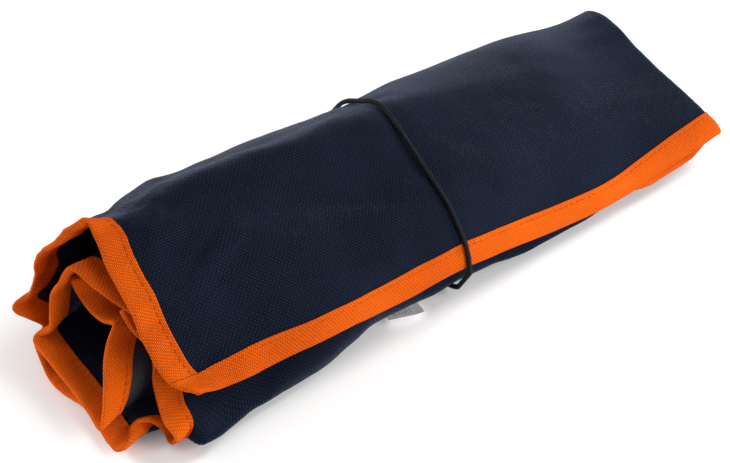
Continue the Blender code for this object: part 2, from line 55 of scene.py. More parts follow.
# Free edge of the outer half at the loose end: x, y, z
OUTER_END = [
    (3, -50, 25), (-4, -41, 31), (-6, -28, 44), (-4.5, -14, 56), (-3.5, 2, 67), (-2, 12, 75),
    (-3, 18, 83), (-8, 22, 78), (-16, 32, 64), (-19, 39, 51), (-18, 41, 41), (-23, 39.5, 35.5),
    (-31, 39.5, 30), (-21, 32, 19), (-25, 35, 12), (-28, 28, 9), (-30, 13, 4), (-27, -9, 4),
    (-30, -29, 4.5), (-30, -37, 4.5), (-26, -38.5, 8), (-20, -33.5, 10.8), (-14, -36.5, 11.6),
    (-10, -41, 8), (-10, -46, 4), (-10, -51.5, 10), (-11, -45.5, 16), (-8, -37, 17), (-4, -27, 24),
    (-1, -24, 34), (-4, -13, 43), (-4, -5, 46.5),
]
# Free edge of the inner half at the loose end
INNER_END = [
    (6, -46, 22.5), (3, -38, 28), (1, -25, 39), (-2, -12, 49), (-6, -4, 53), (-10, 5, 57.5),
    (-14, 15, 62.5), (-18.3, 19, 53), (-20, 24, 43.5), (-22, 23, 33), (-24, 22, 26),
    (-30, 26, 22), (-31, 11, 19), (-31, -4, 16), (-32, -19, 14), (-33, -29, 13),
    (-29, -26, 18), (-23, -19, 26), (-18, -12.5, 32), (-12, -7, 36), (-7.5, -5, 41),
    (-9, 1, 39), (-10, 8, 39), (-12, 15.5, 47), (-14, 15.5, 56),
]
# Sections of the outer half at each station: y, z, from the flap's edge inwards
OUTER = {
    60: [(-56, 26), (-54.5, 33), (-47, 44), (-26, 58), (-4, 69), (14, 73.6), (27.5, 70.2), (41, 60.8),
         (50, 47), (52, 30), (47, 13), (39, 4.5), (26, 1.6), (0, 1), (-35, 1), (-48, 2.2),
         (-55, 5.5), (-54.8, 12), (-48.3, 20.5), (-39, 30.5), (-17, 47.5), (-3, 53.5)],
    105: [(-56, 23), (-54.2, 30.5), (-47.5, 40.5), (-31, 52), (-12, 62), (5, 69), (15, 70.2),
          (24.5, 67.3), (37, 58.5), (46.6, 45.4), (49, 30), (44.8, 13.5), (37.5, 5.7), (25, 3.1),
          (0, 2.6), (-33, 2.6), (-42.5, 4), (-47.3, 8.8), (-47.2, 17.5), (-43.2, 26),
          (-34.5, 34.5), (-18.5, 45), (-4.5, 51.8), (0.5, 53.8)],
    150: [(-56, 20), (-54, 28), (-48, 37), (-36, 46), (-21, 55), (-5, 63), (10, 68),
          (21.5, 65.5), (34.5, 57), (43.7, 43.8), (46.5, 30), (43.2, 14), (36, 6.9), (24, 4.6),
          (0, 4.2), (-33, 4.2), (-44, 5.2), (-49.3, 9), (-47.6, 16.5), (-43.3, 24.3), (-35, 31.5),
          (-20, 42), (-6, 50), (4, 54)],
    235: [(-56, 9), (-54, 16), (-47, 23.5), (-30, 33), (-8, 43), (8, 49), (22, 50.5),
          (35, 46), (43, 37), (44.5, 24), (41, 11), (33, 5.2), (20, 4.4), (0, 4.4),
          (-30, 4.4), (-40.5, 5.8), (-45, 10), (-43, 15), (-37.5, 18.5), (-26, 23), (-8, 30.5),
          (8, 36)],
    292: [(-56.5, 14), (-53, 18), (-45, 21.8), (-33, 24.8), (-18, 27.7), (5, 31.8), (20, 34.3),
          (30, 34.3), (38.5, 30), (41.5, 20), (39, 10), (33, 5), (22, 4.4), (0, 4.4),
          (-30, 4.4), (-41, 5.6), (-45.5, 9.7), (-42, 14), (-33, 16.2), (-15, 18.4), (5, 20.8),
          (18, 22.6)],
    308: [(-56.5, 15), (-53, 18.5), (-45, 21.5), (-33, 24.2), (-18, 27), (5, 31.2), (20, 34),
          (30, 34.3), (38.5, 30), (41.5, 20), (39, 9), (33, 2.6), (22, 1), (0, 1), (-30, 1),
          (-41, 3), (-45.5, 9), (-42, 14), (-33, 16.2), (-15, 18.4), (5, 20.8), (18, 22.6)],
}
# Sections of the inner half
INNER = {
    60: [(-51.7, 22), (-49, 31), (-43, 40), (-24, 53.2), (-4, 63.8), (13, 68.4), (25, 65.4),
         (37.2, 56.5), (45.6, 44.1), (47, 29.6), (42.5, 15.5), (36, 8.5), (24, 6), (0, 5.4),
         (-31, 5.4), (-39, 7.5), (-42.4, 12.5), (-42.3, 19.5), (-39.5, 25.5), (-30.5, 33),
         (-14, 42), (0, 46.8), (8, 49.5)],
    150: [(-51.5, 18), (-49.3, 26), (-44, 33), (-33, 41), (-19, 49.6), (-3, 57.5), (10, 62),
          (19.5, 60.2), (30.6, 52.8), (38.8, 41.2), (41.6, 29.3), (38.7, 17), (32.5, 11.2), (22, 8.9),
          (0, 8.5), (-30, 8.5), (-38, 9.8), (-42.2, 13.5), (-42.1, 18), (-39, 22.5),
          (-32, 28), (-17, 36.8), (-3, 44.5), (7, 48.5)],
    235: [(-51.5, 8), (-49.6, 13.5), (-44, 18.5), (-28, 27), (-7, 35.8), (8, 41.3), (20, 43),
          (31, 40.5), (38, 33), (39.5, 24), (36.5, 14.5), (30, 9.8), (19, 8.8), (0, 8.8),
          (-29, 8.8), (-36.5, 9.4), (-40, 11.3), (-38, 13.9), (-33, 16), (-22, 20), (-4, 27.6),
          (11, 33)],
    292: [(-51.8, 11), (-48.6, 14), (-42, 16.7), (-31, 19.2), (-17, 21.5), (5, 24.8),
          (18, 27.2), (26, 27.5), (33, 24.9), (36, 19.5), (34.3, 12.8), (29.5, 9.4),
          (20, 8.8), (0, 8.8), (-29, 8.8), (-36, 9), (-38, 10.4), (-35.5, 11.7), (-30, 12.1),
          (-14, 14), (6, 16.5), (18.5, 18.2)],
    308: [(-51.8, 11.5), (-48.6, 14.5), (-42, 17), (-31, 19.5), (-17, 21.9), (5, 25.2),
          (18, 27.6), (26, 27.7), (33, 24.9), (36, 19.5), (34.3, 12.5), (29.5, 7.2),
          (20, 5.4), (0, 5.4), (-29, 5.4), (-36, 6.4), (-38, 9.2), (-35.5, 11.7), (-30, 12.1),
          (-14, 14), (6, 16.5), (18.5, 18.2)],
}
FOLD_X = 304.5 * MM           # where the two halves turn into each other
FOLD_BULGE = 3.2 * MM
RIPPLE_REACH = 16 * MM        # how fast the free edges' short waves die out
SMOOTHING = 13                # samples
LOWEST = 0.85 * MM            # least height of a half's middle
EDGE_STEP = 10 * MM           # the stretch over which an edge's own slope is taken

FINE = 241                    # samples of each section
U_FINE = np.linspace(0, 1, FINE)


def run_along(path):
    """Distance from the path's start to each of its points."""
    return np.concatenate([[0], np.cumsum(np.linalg.norm(np.diff(path, axis=0), axis=1))])


def sample(path, run, at):
    """The path's points, or a row of vectors beside it, at these distances along it."""
    return np.stack([np.interp(at, run, path[:, k]) for k in range(path.shape[1])], 1)


def hermite(f, h, start, start_slope, end, end_slope):
    """Cubic between two points with their slopes, at share f of a step h."""
    return (
        (2 * f**3 - 3 * f**2 + 1) * start
        + (f**3 - 2 * f**2 + f) * h * start_slope
        + (3 * f**2 - 2 * f**3) * end
        + (f**3 - f**2) * h * end_slope
    )


def through(points, count=900):
    """A smooth curve through the points, sampled at even steps of its own length."""
    p = np.array(points, float)
    knots = np.concatenate([[0], np.cumsum(np.linalg.norm(np.diff(p, axis=0), axis=1) ** 0.5)])
    step = np.diff(knots)[:, None]
    slope = np.diff(p, axis=0) / step
    tangent = np.empty_like(p)
    tangent[1:-1] = (slope[:-1] * step[1:] + slope[1:] * step[:-1]) / (step[:-1] + step[1:])
    tangent[0] = slope[0]
    tangent[-1] = slope[-1]
    t = np.linspace(0, knots[-1], count)
    i = np.clip(np.searchsorted(knots, t) - 1, 0, len(step) - 1)
    h = step[i]
    f = (t[:, None] - knots[i][:, None]) / h
    return hermite(f, h, p[i], tangent[i], p[i + 1], tangent[i + 1])


def evenly(points):
    curve = through(points)
    run = run_along(curve)
    return sample(curve, run, U_FINE * run[-1])


def smoothed(curve):
    """The curve without its short waves; its two ends stay where they are."""
    reach = 3 * SMOOTHING
    ahead = 2 * curve[0] - curve[reach:0:-1]
    behind = 2 * curve[-1] - curve[-2:-reach - 2:-1]
    longer = np.concatenate([ahead, curve, behind])
    weight = np.exp(-0.5 * (np.arange(-reach, reach + 1) / SMOOTHING) ** 2)
    weight /= weight.sum()
    return np.stack([np.convolve(longer[:, k], weight, "valid") for k in range(3)], 1)


def stations_of(end, sections):
    """Each station's nominal x, its row of points in metres, and the edge's short waves."""
    edge = evenly(end)
    rows = [smoothed(edge)]
    for x, points in sections.items():
        yz = evenly(points)
        rows.append(np.column_stack([np.full(FINE, float(x)), yz]))
    nominal = np.array([0.0] + [float(x) for x in sections]) * MM
    return nominal, np.array(rows) * MM, (edge - rows[0]) * MM


HALVES = {"outer": stations_of(OUTER_END, OUTER), "inner": stations_of(INNER_END, INNER)}


def half_point(half, x, u):
    """The middle of a half at nominal x and at u, the share of its width (arrays)."""
    nominal, rows, ripple = HALVES[half]
    x, u = np.broadcast_arrays(np.asarray(x, float), np.asarray(u, float))
    at = np.clip(u, 0, 1) * (FINE - 1)
    low = np.minimum(at.astype(int), FINE - 2)
    share = (at - low)[..., None]
    columns = rows[:, low] * (1 - share) + rows[:, low + 1] * share
    wave = ripple[low] * (1 - share) + ripple[low + 1] * share
    step = np.diff(nominal)
    step_rows = step.reshape(-1, *[1] * (columns.ndim - 1))
    slope = np.diff(columns, axis=0) / step_rows
    before, after = step_rows[:-1], step_rows[1:]
    middle = (slope[:-1] * after + slope[1:] * before) / (before + after)
    tangent = np.concatenate([slope[:1], middle, slope[-1:]])
    i = np.clip(np.searchsorted(nominal, x, side="right") - 1, 0, len(step) - 1)
    f = ((x - nominal[i]) / step[i])[..., None]
    h = step[i][..., None]
    pick = lambda table, j: np.take_along_axis(table, j[None, ..., None], 0)[0]
    point = hermite(f, h, pick(columns, i), pick(tangent, i), pick(columns, i + 1), pick(tangent, i + 1))
    fade = np.exp(-np.maximum(x, 0) / RIPPLE_REACH)[..., None]
    point = point + wave * fade
    point[..., 2] = np.maximum(point[..., 2], LOWEST)
    return point - np.array(CENTRE)


def edge_x(half, distance, u):
    """Nominal x at this distance from the loose end's edge."""
    start = half_point(half, np.zeros_like(u), u)
    near = half_point(half, np.full_like(u, EDGE_STEP), u)
    return distance * EDGE_STEP / np.linalg.norm(near - start, axis=-1)


def unit(vectors):
    return vectors / np.maximum(np.linalg.norm(vectors, axis=-1, keepdims=True), 1e-12)


def hull_of(points):
    """Convex hull of points in a plane, anticlockwise."""
    order = sorted(map(tuple, points))
    hull = []
    for run in (order, order[::-1]):
        start = len(hull)
        for p in run:
            while len(hull) >= start + 2:
                a, b = hull[-2], hull[-1]
                if (b[0] - a[0]) * (p[1] - a[1]) - (b[1] - a[1]) * (p[0] - a[0]) > 0:
                    break
                hull.pop()
            hull.append(p)
        hull.pop()
    return np.array(hull)


# ---- the cloth's lattice

PLY = 0.42 * MM               # thickness of a woven ply
PLY_OFF = 0.33 * MM           # a ply's middle, from the middle of its half
TAPE_T = 0.42 * MM            # thickness of the tape
COLUMNS = 261
OUTSIDE_WIDTH = 225 * MM      # how much of the outer half's width lies on the roll's outside
APART = 1.5 * MM              # least distance between the middles of two halves
PROBE = 4 * MM                # how far outside the outer half a test for that starts
EDGE_ROWS = 8                 # rows under the tape at the loose end
SETTLE_ROWS = 12              # rows from the tape's edge to where rows stand straight across
SETTLE_X = 34 * MM
BODY_ROWS = 95                # rows from there to the fold
TIE_X = 147 * MM
TIE_LEAN = 5 * MM             # how much further along the roll the tie is at its top
TIE_SPAN = 73 * MM            # the height over which it leans
TIE_RADIUS = 1.15 * MM
TIE_GAP = 0.15 * MM           # between the tie and the cloth
DENT_WIDTH = 8 * MM
U = np.linspace(0.002, 0.998, COLUMNS)


def lattice_rows(half, u):
    """Nominal x of every row: under the tape, past its edge, then evenly to the fold."""
    under = edge_x(half, TAPE_WIDTH, u)
    rows = [under * k / EDGE_ROWS for k in range(EDGE_ROWS + 1)]
    rows += [under + (SETTLE_X - under) * k / SETTLE_ROWS for k in range(1, SETTLE_ROWS + 1)]
    rows += [np.full_like(u, x) for x in np.linspace(SETTLE_X, FOLD_X, BODY_ROWS)[1:]]
    return np.array(rows)


def ramp(x, start, end):
    """0 before the start, 1 after the end, smooth between."""
    share = np.clip((x - start) / (end - start), 0, 1)
    return share * share * (3 - 2 * share)


def wave_noise(x, y, seed, scale, octaves=3):
    """Smooth repeatable noise, about -1 to 1, as sums of waves in seeded directions."""
    rng = np.random.default_rng(seed)
    total = np.zeros(np.broadcast(x, y).shape)
    weight = 0.0
    waves, shrink, fade = 6, 1.9, 1.7
    for octave in range(octaves):
        size = scale / shrink**octave
        for _ in range(waves):
            angle = rng.uniform(0, math.pi)
            phase = rng.uniform(0, 2 * math.pi)
            bend = rng.uniform(0.6, 1.6)
            along = (x * math.cos(angle) + y * math.sin(angle)) / size * bend * 2 * math.pi
            total += np.sin(along + phase) / fade**octave
        weight += waves / fade**octave
    return total / weight * 2.2


def crease(x, v, start, end, width, height):
    """A ridge or valley along a line in the cloth (millimetres along x and the width)."""
    (x0, v0), (x1, v1) = start, end
    dx, dv = x1 - x0, v1 - v0
    length = math.hypot(dx, dv)
    along = ((x - x0) * dx + (v - v0) * dv) / length**2
    across = ((x - x0) * dv - (v - v0) * dx) / length
    taper = np.clip(1 - np.abs(along - 0.5) * 2, -1, 1)
    taper = np.where(taper > 0, np.sin(np.clip(taper, 0, 1) * math.pi / 2) ** 1.2, 0)
    return height * taper * np.exp(-((across / width) ** 2))


# Creases of the outer half: start, end, width, height (a valley's is below 0), in millimetres
CREASES = [
    ((30, 70), (164, 52), 10.0, -2.6), ((22, 46), (166, 30), 9.0, 3.4), ((18, 90), (160, 76), 8.0, 2.4),
    ((8, 112), (62, 106), 8.0, 2.0), ((13, 34), (62, 58), 4.6, 2.0), ((13, 60), (54, 74), 4.2, 1.8),
    ((14, 52), (46, 100), 3.2, 1.6), ((12, 66), (34, 128), 3.5, -1.2), ((13, 84), (60, 118), 3.0, 1.2),
    ((12, 108), (70, 122), 4.0, -1.0), ((14, 30), (64, 44), 3.4, 0.9), ((15, 40), (58, 66), 3.0, -1.0),
    ((30, 72), (96, 92), 6.0, 0.7), ((28, 96), (110, 118), 7.0, -0.7), ((60, 40), (130, 78), 8.0, 0.6),
    ((130, 118), (168, 84), 3.0, -1.1), ((126, 96), (160, 112), 3.4, 0.8), ((118, 60), (146, 84), 4.0, -0.6),
    ((150, 70), (190, 50), 4.5, -0.7), ((152, 104), (200, 128), 5.0, 0.6), ((12, 212), (70, 226), 4.0, 1.1),
    ((14, 236), (84, 250), 4.5, -1.1), ((14, 150), (60, 160), 5.0, 0.9), ((14, 172), (70, 184), 5.0, -0.9),
]
DEEPEST = 0.9                 # how deep the valleys go, in millimetres


def relief(half, x, u):
    """How far the cloth stands off its smooth surface, towards the bag's outside."""
    xm, vm = x / MM, u * WIDTH / MM
    if half == "outer":
        calm = 0.35 + 0.65 * (1 - ramp(xm, 120, 190))
        lift = 1.1 * calm * wave_noise(xm * 0.6, vm * 1.5, 3, 75)
        lift += 0.3 * calm * wave_noise(xm, vm, 8, 27, 2)
        near_end = np.exp(-np.clip(xm - 8, 0, None) / 40)
        lift += 1.5 * near_end * wave_noise(xm * 0.7, vm * 1.3, 11, 30)
        for args in CREASES:
            lift += crease(xm, vm, *args)
        lift = np.where(lift < 0, -DEEPEST * np.tanh(-lift / DEEPEST), lift)
        lift -= 1.2 * ramp(vm, 84, 98) * (1 - ramp(vm, 122, 150)) * (1 - ramp(xm, 150, 190))
        lift += 1.7 * ramp(xm, 225, 262) * ramp(vm, 70, 95) * (1 - ramp(vm, 140, 170))
    else:
        lift = 0.22 * wave_noise(xm, vm, 21, 60)
    return lift * MM


# Nominal x, and how far the outer half's lower front swells there, in millimetres
SWELL = [
    (0, 0), (7, 1), (12, 6.5), (18, 11.5), (24, 11), (33, 4), (44, 0.4), (58, -1.4), (80, -1.5),
    (100, -1), (116, 0.6), (132, 2.2), (147, 2.2), (158, 3.0), (167, 4.2), (173, 6), (185, 8.6),
    (208, 10.8), (222, 12.4), (231, 13), (237, 8), (244, 2), (250, 0), (310, 0),
]


def belly(points, rows):
    """The outer half's lower front swells behind its loose end and under the flap's band."""
    x = rows / MM
    swell = np.interp(x, *np.transpose(SWELL)) * ramp(U, 0.3, 0.4)[None, :]
    y, z = points[..., 1] / MM, points[..., 2] / MM
    high = np.interp(x, [60, 150, 200], [7.0, 6.0, 4.2])
    near = np.exp(-np.clip((y + 42) / 9, 0, None) ** 2)
    return swell * near * np.exp(-(np.clip(z - 5.5, 0, None) / high) ** 2) * MM


def second_edge(rows):
    """The inner half's flap edge looks out under the outer one near the fold."""
    x = rows / MM
    out = ramp(x, 238, 262) * (1 - 0.7 * ramp(x, 285, 304)) * (1 - ramp(U, 0.03, 0.11))[None, :]
    return out[..., None] * np.array([0.0, -5.2, -1.6]) * MM


def band_turn(rows):
    """The flap's band turns under near the fold: 1 where its cloth swells out most."""
    x, v = rows / MM, (U * WIDTH / MM)[None, :]
    return ramp(x, 205, 245) * (1 - ramp(x, 290, 304)) * np.exp(-(((v - 14) / 9) ** 2))


def fold_draw(rows):
    """The fold is drawn in a little along the front."""
    x, v = rows / MM, (U * WIDTH / MM)[None, :]
    return 1.3 * MM * ramp(x, 270, 304) * np.exp(-(((v - 48) / 38) ** 2))


def round_corner(points, rows):
    """The flap's corner at the loose end is rounded and curls up a little."""
    x, v = rows / MM, (U * WIDTH / MM)[None, :]
    pull = (np.exp(-(x**2 + v**2) / 7.5**2) * 2.6 * MM)[..., None]
    inward = unit(np.gradient(points, axis=0)) + unit(np.gradient(points, axis=1))
    return points + inward * pull


def tie_dent(points):
    """The tie presses the outer half in along its line, more over the top than at the sides."""
    z = points[..., 2]
    line = TIE_X - CENTRE[0] + (z / TIE_SPAN - 0.5) * TIE_LEAN
    deep = 0.5 + 0.6 * ramp(z / MM, 45, 65)
    return np.exp(-(((points[..., 0] - line) / DENT_WIDTH) ** 2)) * deep * MM


def smooth_normals(points):
    along = unit(np.gradient(points, axis=0))
    across = unit(np.gradient(points, axis=1))
    normals = unit(np.cross(along, across))
    for _ in range(2):
        inner = normals.copy()
        inner[:, 1:-1] += 0.5 * (normals[:, :-2] + normals[:, 2:])
        inner[1:-1] += 0.5 * (normals[:-2] + normals[2:])
        normals = unit(inner)
    return normals


def grid_quads(rows, columns):
    """The faces of a grid of points, numbered row by row."""
    index = np.arange(rows * columns).reshape(rows, columns)
    return np.stack([index[:-1, :-1], index[1:, :-1], index[1:, 1:], index[:-1, 1:]], -1).reshape(-1, 4)


def lattice_of(half):
    """A half's nominal x, points and outward normals, row by row from its loose end."""
    rows = lattice_rows(half, U)
    points = half_point(half, rows, U)
    if half == "outer":
        swollen = belly(points, rows)
        points[..., 1] -= swollen
        points[..., 0] -= 1.05 * swollen * (1 - ramp(rows, 22 * MM, 40 * MM))
        points = round_corner(points, rows)
        points = points - band_turn(rows)[..., None] * np.array([0.0, 3.2, 0.8]) * MM
    else:
        points = points + second_edge(rows)
    points[..., 0] -= fold_draw(rows)
    normals = smooth_normals(points)
    normals = normals if half == "outer" else -normals
    lift = relief(half, rows, U[None, :])
    if half == "outer":
        lift = lift - tie_dent(points)
    points = points + normals * lift[..., None]
    points[..., 2] = np.maximum(points[..., 2], LOWEST - CENTRE[2])
    normals = smooth_normals(points)
    return rows, points, normals if half == "outer" else -normals


def hold_apart(outer, inner):
    """The outer half's lattice, pushed out wherever the inner half would show through it."""
    rows, points, normals = outer
    quads = grid_quads(*inner[1].shape[:2])
    tree = BVHTree.FromPolygons(inner[1].reshape(-1, 3).tolist(), quads.tolist())
    push = np.zeros(rows.shape)
    seen = U * WIDTH < OUTSIDE_WIDTH
    for i, j in np.argwhere((rows > TAPE_WIDTH) & (rows < FOLD_X - 6 * MM) & seen[None, :]):
        start = points[i, j] + normals[i, j] * PROBE
        hit = tree.ray_cast(start.tolist(), (-normals[i, j]).tolist(), PROBE + APART)
        if hit[0] is not None:
            push[i, j] = PROBE + APART - hit[3]
    for _ in range(6):
        wide = np.pad(push, 1, mode="edge")
        mean = (wide[:-2, 1:-1] + wide[2:, 1:-1] + wide[1:-1, :-2] + wide[1:-1, 2:]) / 4
        push = np.maximum(push, mean)
    return rows, points + normals * push[..., None], normals


INNER = lattice_of("inner")
LATTICE = {"outer": hold_apart(lattice_of("outer"), INNER), "inner": INNER}
SETTLED = EDGE_ROWS + SETTLE_ROWS
POCKET_ROWS = int(np.searchsorted(LATTICE["outer"][0][:, 0], FOLD_X - SADDLE))
ROWS = LATTICE["outer"][0].shape[0]


def ply(half, offset):
    """A half's points, moved off its middle towards the bag's outside."""
    _, points, normals = LATTICE[half]
    return points + normals * offset


def turn_over(near, far, bulge, steps=11):
    """Rows that turn over from one row to another, bulging along +X."""
    rows = []
    for angle in np.linspace(0, math.pi, steps)[1:-1]:
        row = (near + far) / 2 + (near - far) / 2 * math.cos(angle)
        row = row + np.array([1.0, 0, 0]) * bulge * math.sin(angle)
        rows.append(row)
    return np.array(rows)


# ---- mesh helpers


def mesh_object(name, points, faces, surface, body, uv=None):
    mesh = bpy.data.meshes.new(name)
    mesh.from_pydata(np.asarray(points).tolist(), [], faces)
    if uv is not None:
        layer = mesh.uv_layers.new(name="cloth")
        loops = np.empty(len(mesh.loops), dtype=np.int64)
        mesh.loops.foreach_get("vertex_index", loops)
        layer.data.foreach_set("uv", uv.reshape(-1, 2)[loops].ravel().astype(np.float32))
    mesh.shade_smooth()
    obj = bpy.data.objects.new(name, mesh)
    bpy.context.scene.collection.objects.link(obj)
    mesh.materials.append(surface)
    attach(obj, body)
    return obj


def grid_object(name, points, thickness, surface, uv=None, body="bag"):
    """A sheet through a grid of points, with a UV map in millimetres."""
    if uv is None:
        run, side = (
            np.concatenate([[0], np.cumsum(np.linalg.norm(np.diff(points, axis=k), axis=2).mean(1 - k))])
            for k in (0, 1)
        )
        uv = np.stack(np.meshgrid(run / MM, side / MM, indexing="ij"), -1)
    faces = grid_quads(*points.shape[:2]).tolist()
    obj = mesh_object(name, points.reshape(-1, 3), faces, surface, body, uv)
    solid = obj.modifiers.new("thickness", "SOLIDIFY")
    solid.thickness = thickness
    solid.offset = 0
    solid.use_even_offset = False
    return obj


# ---- materials


class Nodes:
    """Short names for building a material's node tree."""

    def __init__(self, name):
        self.material = bpy.data.materials.new(name)
        self.material.use_nodes = True
        self.tree = self.material.node_tree
        self.shader = self.tree.nodes["Principled BSDF"]

    def add(self, kind, inputs=(), **settings):
        node = self.tree.nodes.new("ShaderNode" + kind)
        for key, value in settings.items():
            setattr(node, key, value)
        for key, value in dict(inputs).items():
            self.put(node, key, value)
        return node

    def put(self, node, key, value):
        socket = node.inputs[key]
        if hasattr(value, "is_linked") or hasattr(value, "links"):
            self.tree.links.new(value, socket)
        else:
            socket.default_value = value

    def maths(self, operation, a, b=0.0, c=0.0):
        node = self.add("Math", {0: a, 1: b, 2: c}, operation=operation)
        return node.outputs[0]

    def mix(self, share, a, b):
        node = self.add("Mix", {0: share, 6: a, 7: b}, data_type="RGBA")
        return node.outputs[2]

    def uv(self):
        node = self.add("UVMap", uv_map="cloth")
        parts = self.add("SeparateXYZ", {0: node.outputs[0]})
        return parts.outputs[0], parts.outputs[1]

    def noise(self, scale, detail=3.0, rough=0.5, vector=None):
        if vector is None:
            vector = self.add("TexCoord").outputs["Object"]
        node = self.add("TexNoise", {"Vector": vector, "Scale": scale, "Detail": detail, "Roughness": rough})
        return node.outputs[0]

    def bump(self, height, strength, distance, normal=None):
        inputs = {"Height": height, "Strength": strength, "Distance": distance}
        node = self.add("Bump", inputs)
        if normal is not None:
            self.put(node, "Normal", normal)
        return node.outputs[0]


def weave_height(n, pitch_u, pitch_v, skew=0.0):
    """Height of a plain weave, 0 to 1, and +1 or -1 for which thread is on top."""
    u, v = n.uv()
    if skew:
        u = n.maths("MULTIPLY_ADD", v, skew, u)
    a = n.maths("SINE", n.maths("MULTIPLY", u, math.pi / pitch_u))
    b = n.maths("SINE", n.maths("MULTIPLY", v, math.pi / pitch_v))
    product = n.maths("MULTIPLY", a, b)
    height = n.maths("POWER", n.maths("ABSOLUTE", product), 0.6)
    return height, n.maths("SIGN", product)


def cloth_material(name, dark, light, pitch, bump_mm, rough, sheen, sheen_tint, skew=0.0,
                   pitch_v=None, fuzz=0.35, specular=0.4):
    """Woven cloth: threads over and under, lint, and slow random changes of tone, partly wear and partly
    painted light and shade.
    """
    n = Nodes(name)
    height, side = weave_height(n, pitch, pitch_v or pitch, skew)
    # slow random mottle of the cloth's tone: partly wear, partly painted light and shade
    wear_and_painted_shade = n.noise(14.0, 3.0, 0.6)
    grain = n.noise(900.0, 2.0, 0.6)
    share = n.maths("MULTIPLY_ADD", side, 0.15, n.maths("MULTIPLY", height, 0.75))
    # the mottle lightens and darkens the cloth: painted light and shade as well as wear
    share = n.maths("ADD", share, n.maths("MULTIPLY_ADD", wear_and_painted_shade, 0.9, -0.45))
    share = n.maths("MULTIPLY_ADD", grain, fuzz, n.maths("SUBTRACT", share, fuzz / 2))
    share = n.maths("MINIMUM", n.maths("MAXIMUM", share, 0.0), 1.0)
    colour = n.mix(share, (*dark, 1), (*light, 1))
    n.put(n.shader, "Base Color", colour)
    rough_map = n.maths("MULTIPLY_ADD", grain, 0.18, rough - 0.09)
    n.put(n.shader, "Roughness", rough_map)
    n.shader.inputs["Specular IOR Level"].default_value = specular
    n.shader.inputs["Sheen Weight"].default_value = sheen
    n.shader.inputs["Sheen Roughness"].default_value = 0.2
    n.shader.inputs["Sheen Tint"].default_value = (*sheen_tint, 1)
    soft = n.bump(n.noise(60.0, 4.0, 0.55), 0.25, 1.2 * MM)
    n.put(n.shader, "Normal", n.bump(height, 0.9, bump_mm * MM, soft))
    return n.material


NAVY = cloth_material("navy_weave", (0.0003, 0.0008, 0.0030), (0.0115, 0.0175, 0.0360), 0.98, 0.32,
                      0.6, 0.32, (0.50, 0.54, 0.78), specular=0.03)
NAVY_IN = cloth_material("navy_coating", (0.0030, 0.0038, 0.0072), (0.0080, 0.0098, 0.017), 0.95, 0.09,
                         0.6, 0.04, (0.5, 0.6, 0.9), specular=0.25)
ORANGE = cloth_material("orange_tape", (0.24, 0.022, 0.0010), (0.86, 0.138, 0.002), 0.80, 0.20, 0.75,
                        0.0, (1.0, 0.6, 0.3), skew=0.5, pitch_v=0.72, fuzz=0.3, specular=0.06)
BLACK_TAPE = cloth_material("black_webbing", (0.006, 0.006, 0.007), (0.03, 0.03, 0.034), 0.7, 0.12,
                            0.7, 0.2, (0.6, 0.6, 0.7))


def thread_material():
    n = Nodes("orange_thread")
    twist = n.noise(2600.0, 1.0, 0.5)
    n.put(n.shader, "Base Color", n.mix(twist, (0.20, 0.02, 0.002, 1), (0.50, 0.07, 0.005, 1)))
    n.shader.inputs["Roughness"].default_value = 0.8
    n.shader.inputs["Specular IOR Level"].default_value = 0.1
    n.put(n.shader, "Normal", n.bump(twist, 0.5, 0.1 * MM))
    return n.material


def cord_material():
    n = Nodes("elastic_braid")
    u, v = n.uv()
    slant = n.maths("MULTIPLY_ADD", u, 2.6, n.maths("MULTIPLY", v, 6.0))
    strand = n.maths("ABSOLUTE", n.maths("SINE", slant))
    fibre = n.noise(1800.0, 2.0, 0.6)
    share = n.maths("MULTIPLY", strand, fibre)
    n.put(n.shader, "Base Color", n.mix(share, (0.0008, 0.0010, 0.0016, 1), (0.012, 0.014, 0.020, 1)))
    n.put(n.shader, "Roughness", n.maths("MULTIPLY_ADD", fibre, 0.2, 0.45))
    n.shader.inputs["Specular IOR Level"].default_value = 0.15
    n.put(n.shader, "Normal", n.bump(fibre, 0.5, 0.12 * MM))
    return n.material


def metal_material():
    n = Nodes("black_enamel")
    wear = n.noise(260.0, 4.0, 0.65)
    share = n.maths("GREATER_THAN", wear, 0.63)
    n.put(n.shader, "Base Color", n.mix(share, (0.012, 0.012, 0.014, 1), (0.35, 0.34, 0.33, 1)))
    n.put(n.shader, "Roughness", n.maths("MULTIPLY_ADD", wear, 0.3, 0.2))
    n.shader.inputs["Metallic"].default_value = 0.6
    n.put(n.shader, "Normal", n.bump(wear, 0.25, 0.1 * MM))
    return n.material


def label_material():
    """White satin with a generic row of bars and no lettering."""
    n = Nodes("satin_label")
    u, v = n.uv()
    flat = n.add("CombineXYZ", {0: u, 1: 0.0, 2: 0.0}).outputs[0]
    bars = n.maths("GREATER_THAN", n.noise(3.1, 2.0, 0.8, flat), 0.54)
    inside = n.maths("MULTIPLY", n.maths("GREATER_THAN", u, 2.0), n.maths("LESS_THAN", u, 12.0))
    inside = n.maths("MULTIPLY", inside, n.maths("GREATER_THAN", v, 2.8))
    inside = n.maths("MULTIPLY", inside, n.maths("LESS_THAN", v, 10.0))
    ink = n.maths("MULTIPLY", bars, inside)
    dust = n.noise(300.0, 3.0, 0.6)
    white = n.mix(dust, (0.88, 0.86, 0.92, 1), (1.0, 0.98, 1.0, 1))
    n.put(n.shader, "Base Color", n.mix(ink, white, (0.03, 0.03, 0.04, 1)))
    n.shader.inputs["Roughness"].default_value = 0.45
    n.shader.inputs["Sheen Weight"].default_value = 0.2
    threads = n.maths("ABSOLUTE", n.maths("SINE", n.maths("MULTIPLY", v, 9.0)))
    n.put(n.shader, "Normal", n.bump(threads, 0.35, 0.06 * MM))
    return n.material


THREAD = thread_material()
BRAID = cord_material()
METAL = metal_material()
SATIN = label_material()


# ---- the cloth plies


FOLD_ARC = 9 * MM             # length of cloth in the turn at the fold


def cloth_uv(rows):
    return np.stack(np.meshgrid(rows / MM, U * WIDTH / MM, indexing="ij"), -1)


